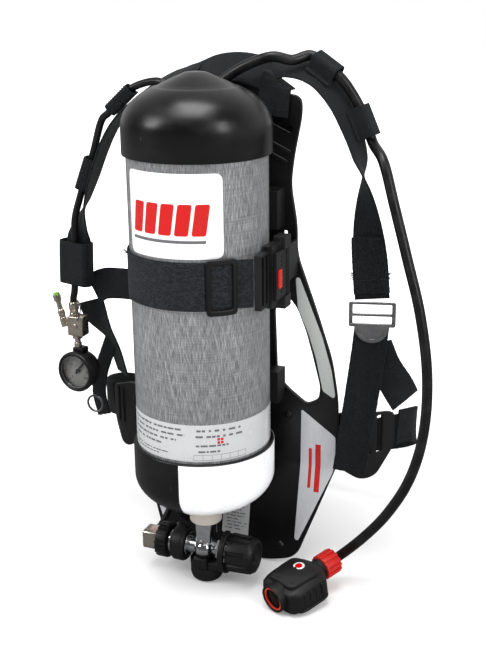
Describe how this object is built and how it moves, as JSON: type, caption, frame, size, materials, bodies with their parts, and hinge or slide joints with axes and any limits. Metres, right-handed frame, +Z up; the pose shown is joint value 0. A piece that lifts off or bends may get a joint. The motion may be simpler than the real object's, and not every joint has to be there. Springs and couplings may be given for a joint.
{
  "type": "self-contained breathing apparatus",
  "caption": "Composite air cylinder strapped valve-down to a moulded backplate, with pressure reducer, gauge line, demand valve on a hose, shoulder webbing and waist belt.",
  "frame": {"origin": "middle of the flat underside of the rubber foot under the cylinder valve, on the cylinder's axis", "axes": "+Z up along the cylinder's axis, +Y from the cylinder through the backplate towards the wearer, +X towards the band buckle and the valve's handwheel"},
  "size_m": [0.5107, 0.3716, 0.6283],
  "materials": {
    "aluminium": "satin liner",
    "carbon_overwrap": "wound fibre under clear resin",
    "boot_rubber": "smooth moulded",
    "collar_plastic": "plain",
    "chrome": "polished",
    "steel": "satin",
    "brass": "pale plated",
    "black_plastic": "fine moulded grain",
    "grey_plastic": "fine moulded grain",
    "dark_metal": "black coated",
    "hose_rubber": "smooth",
    "webbing": "woven polyester",
    "padding": "covered foam",
    "red_plastic": "plain",
    "clear_lens": "clear",
    "dial_white": "printed",
    "needle_black": "matt"
  },
  "bodies": {
    "apparatus": {"cylinder_liner": "aluminium", "cylinder_overwrap": "carbon_overwrap", "cylinder_top_boot": "boot_rubber", "cylinder_bottom_boot": "boot_rubber", "neck_collar": "collar_plastic", "valve_body": "chrome", "knob_guard": "black_plastic", "valve_foot": "boot_rubber", "outlet_bumper": "boot_rubber", "connector_block": "brass", "connector_o_ring": "boot_rubber", "reducer_body": "dark_metal", "high_pressure_hose": "hose_rubber", "gauge_hose": "hose_rubber", "backplate": "black_plastic", "cylinder_cradle": "black_plastic", "cylinder_band": "webbing", "band_slider": "black_plastic", "band_ladder": "grey_plastic", "band_buckle_housing": "grey_plastic", "band_lever_pin": "steel", "shoulder_yoke": "webbing", "shoulder_strap_right": "webbing", "shoulder_strap_left": "webbing", "lower_strap_right": "webbing", "lower_strap_left": "webbing", "strap_tail_right": "webbing", "strap_tail_left": "webbing", "hose_flap_right_upper": "webbing", "hose_flap_right_lower": "webbing", "hose_flap_left_upper": "webbing", "hose_flap_left_lower": "webbing", "hose_sleeve_left": "webbing", "adjuster_frame_right": "steel", "waist_wing_left": "grey_plastic", "waist_wing_right": "grey_plastic", "lumbar_pad": "padding", "waist_belt_left": "webbing", "waist_belt_right": "webbing", "waist_buckle_body": "black_plastic", "waist_buckle_tongue": "black_plastic", "gauge_block": "brass", "whistle": "brass", "demand_valve_body": "black_plastic", "demand_hose": "hose_rubber"},
    "cylinder_handwheel": {"valve_spindle": "steel", "handwheel_knob": "black_plastic"},
    "connector_handwheel": {"connector_wheel": "black_plastic"},
    "band_lever": {"band_cam_lever": "grey_plastic"},
    "band_catch": {"band_release_catch": "red_plastic"},
    "adjuster_lever": {"adjuster_lever_right": "steel"},
    "pressure_gauge": {"gauge_case": "black_plastic", "gauge_dial": "dial_white", "gauge_lens": "clear_lens"},
    "needle": {"gauge_needle": "needle_black"},
    "swivel_nut": {"demand_swivel_nut": "red_plastic"},
    "purge_cover": {"demand_valve_cover": "boot_rubber"},
    "first_breath_button": {"demand_button": "black_plastic"},
    "belt_button": {"waist_buckle_button": "red_plastic"},
    "accessory_ring": {"d_ring": "steel"}
  },
  "joints": [
    {"name": "cylinder_handwheel_turn", "type": "hinge", "parent": "apparatus", "child": "cylinder_handwheel", "pos_m": [0.04, 0, 0.04], "axis": [1, 0, 0], "range_deg": [0, 900]},
    {"name": "connector_handwheel_turn", "type": "hinge", "parent": "apparatus", "child": "connector_handwheel", "pos_m": [-0.055, 0, 0.04], "axis": [1, 0, 0], "range_deg": [0, 1440]},
    {"name": "band_lever_hinge", "type": "hinge", "parent": "apparatus", "child": "band_lever", "pos_m": [0.0946, 0.0265, 0.393], "axis": [0, 0, 1], "range_deg": [0, 105]},
    {"name": "band_catch_press", "type": "slide", "parent": "band_lever", "child": "band_catch", "axis": [-1, 0, 0], "range_m": [0, 0.003], "stiffness_N_per_m": 600},
    {"name": "adjuster_lever_hinge", "type": "hinge", "parent": "apparatus", "child": "adjuster_lever", "pos_m": [0.18016, 0.07734, 0.3235], "axis": [-0.9703, -0.2419, 0], "range_deg": [0, 60]},
    {"name": "gauge_swivel", "type": "hinge", "parent": "apparatus", "child": "pressure_gauge", "pos_m": [-0.215, 0.08, 0.25], "axis": [0, 0, 1], "range_deg": [-60, 60]},
    {"name": "gauge_needle_turn", "type": "hinge", "parent": "pressure_gauge", "child": "needle", "pos_m": [-0.213, 0.08, 0.217], "axis": [0.1045, 0.9945, 0], "range_deg": [-165, 105]},
    {"name": "swivel_nut_turn", "type": "hinge", "parent": "apparatus", "child": "swivel_nut", "pos_m": [0.122, -0.016, 0.0236], "axis": [0.4637, 0.8721, 0.1564], "continuous": true},
    {"name": "purge_cover_press", "type": "slide", "parent": "apparatus", "child": "purge_cover", "axis": [0.0734, 0.1381, -0.9877], "range_m": [0, 0.002], "stiffness_N_per_m": 1500},
    {"name": "first_breath_button_press", "type": "slide", "parent": "apparatus", "child": "first_breath_button", "axis": [0.8829, -0.4695, 0], "range_m": [0, 0.002], "stiffness_N_per_m": 600},
    {"name": "belt_button_press", "type": "slide", "parent": "apparatus", "child": "belt_button", "axis": [0, -1, 0], "range_m": [0, 0.002], "stiffness_N_per_m": 600},
    {"name": "accessory_ring_swing", "type": "hinge", "parent": "apparatus", "child": "accessory_ring", "pos_m": [-0.2, 0.09, 0.178], "axis": [-1, 0, 0], "range_deg": [0, 60]}
  ]
}
